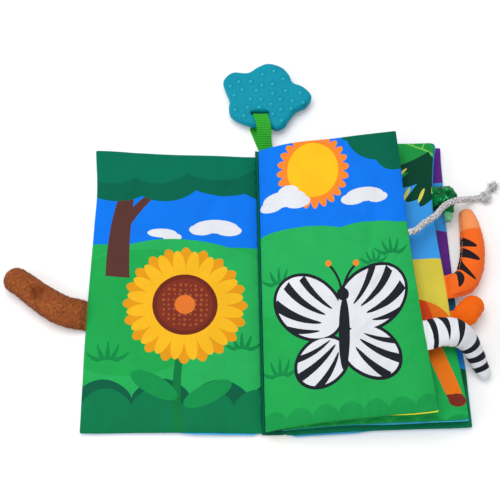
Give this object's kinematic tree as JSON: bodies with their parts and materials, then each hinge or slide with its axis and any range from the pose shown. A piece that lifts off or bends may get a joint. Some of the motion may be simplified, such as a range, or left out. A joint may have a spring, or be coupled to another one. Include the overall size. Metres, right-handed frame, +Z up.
{
  "type": "crinkle cloth book",
  "caption": "Open cloth book of padded pages with crinkle film inside, stuffed tails sewn into the page edges and a lobed silicone teether on a ribbon.",
  "frame": {"origin": "middle of the spine cloth's flat underside, where the open book rests on the table", "axes": "+X from the front cover to the back cover, +Y to the head of the pages, +Z up from the table"},
  "size_m": [0.3894, 0.3172, 0.0356],
  "materials": {
    "meadow_print": "printed woven polyester",
    "sky_print": "printed woven polyester",
    "dune_print": "printed woven polyester",
    "plum_print": "printed woven polyester",
    "cover_print": "printed woven polyester",
    "spine_print": "printed woven polyester",
    "crinkle_film": "thin crackling film",
    "batting": "soft batting",
    "stuffing": "polyester fibre",
    "brown_plush": "short plush pile",
    "white_jersey": "printed jersey",
    "orange_velour": "printed velour",
    "orange_jersey": "plain jersey",
    "green_satin": "satin",
    "grey_rope": "braided cotton",
    "green_ribbon": "grosgrain",
    "teal_silicone": "matt silicone"
  },
  "bodies": {
    "spine_and_back_cover": {"back_cover_upper_panel": "plum_print", "back_cover_lower_panel": "cover_print", "back_cover_crinkle_film": "crinkle_film", "back_cover_batting": "batting", "spine_cloth": "spine_print", "inner_sheet_fold": "spine_print"},
    "front_cover": {"front_cover_upper_panel": "meadow_print", "front_cover_lower_panel": "cover_print", "front_cover_crinkle_film": "crinkle_film", "front_cover_batting": "batting"},
    "second_leaf": {"second_leaf_upper_panel": "dune_print", "second_leaf_lower_panel": "sky_print", "second_leaf_crinkle_film": "crinkle_film", "second_leaf_batting": "batting"},
    "first_leaf": {"first_leaf_upper_panel": "meadow_print", "first_leaf_lower_panel": "sky_print", "first_leaf_crinkle_film": "crinkle_film", "first_leaf_batting": "batting", "rope_tail": "grey_rope", "rope_knot_and_tassel": "grey_rope"},
    "brown_plush_tail": {"brown_plush_tail_cover": "brown_plush", "brown_plush_tail_stuffing": "stuffing"},
    "white_striped_tail": {"white_striped_tail_cover": "white_jersey", "white_striped_tail_stuffing": "stuffing"},
    "orange_striped_tail": {"orange_striped_tail_cover": "orange_velour", "orange_striped_tail_stuffing": "stuffing"},
    "plain_orange_tail": {"plain_orange_tail_cover": "orange_jersey", "plain_orange_tail_stuffing": "stuffing"},
    "green_satin_tail": {"green_satin_tail_cover": "green_satin", "green_satin_tail_stuffing": "stuffing"},
    "ribbon_loop": {"ribbon_loop": "green_ribbon"},
    "teether": {"teether": "teal_silicone"}
  },
  "joints": [
    {"name": "front_cover_turn", "type": "hinge", "parent": "spine_and_back_cover", "child": "front_cover", "pos_m": [-0.0088, 0, 0.008], "axis": [0, -1, 0], "range_deg": [-155, 0]},
    {"name": "second_leaf_turn", "type": "hinge", "parent": "spine_and_back_cover", "child": "second_leaf", "pos_m": [0, 0, 0.00985], "axis": [0, -1, 0], "range_deg": [0, 56]},
    {"name": "first_leaf_turn", "type": "hinge", "parent": "second_leaf", "child": "first_leaf", "pos_m": [0, 0, 0.00985], "axis": [0, -1, 0], "range_deg": [0, 90]},
    {"name": "brown_plush_tail_flap", "type": "hinge", "parent": "front_cover", "child": "brown_plush_tail", "pos_m": [-0.1412, -0.0228, 0.00245], "axis": [0, -1, 0], "range_deg": [-45, 0]},
    {"name": "white_striped_tail_flap", "type": "hinge", "parent": "first_leaf", "child": "white_striped_tail", "pos_m": [0.1136, -0.0515, 0.0297], "axis": [0, -1, 0], "range_deg": [0, 40]},
    {"name": "orange_striped_tail_flap", "type": "hinge", "parent": "second_leaf", "child": "orange_striped_tail", "pos_m": [0.1352, -0.0082, 0.0135], "axis": [0, -1, 0], "range_deg": [0, 10]},
    {"name": "plain_orange_tail_flap", "type": "hinge", "parent": "second_leaf", "child": "plain_orange_tail", "pos_m": [0.1378, -0.0324, 0.0132], "axis": [0, -1, 0], "range_deg": [0, 20]},
    {"name": "green_satin_tail_flap", "type": "hinge", "parent": "second_leaf", "child": "green_satin_tail", "pos_m": [0.131, 0.068, 0.0142], "axis": [0, -1, 0], "range_deg": [0, 6]},
    {"name": "ribbon_lift", "type": "hinge", "parent": "spine_and_back_cover", "child": "ribbon_loop", "pos_m": [-0.0003, 0.118, 0.001], "axis": [1, 0, 0], "range_deg": [0, 55]},
    {"name": "teether_turn", "type": "hinge", "parent": "ribbon_loop", "child": "teether", "pos_m": [-0.0077, 0.1429, 0.007], "axis": [1, 0, 0], "range_deg": [0, 30]}
  ]
}
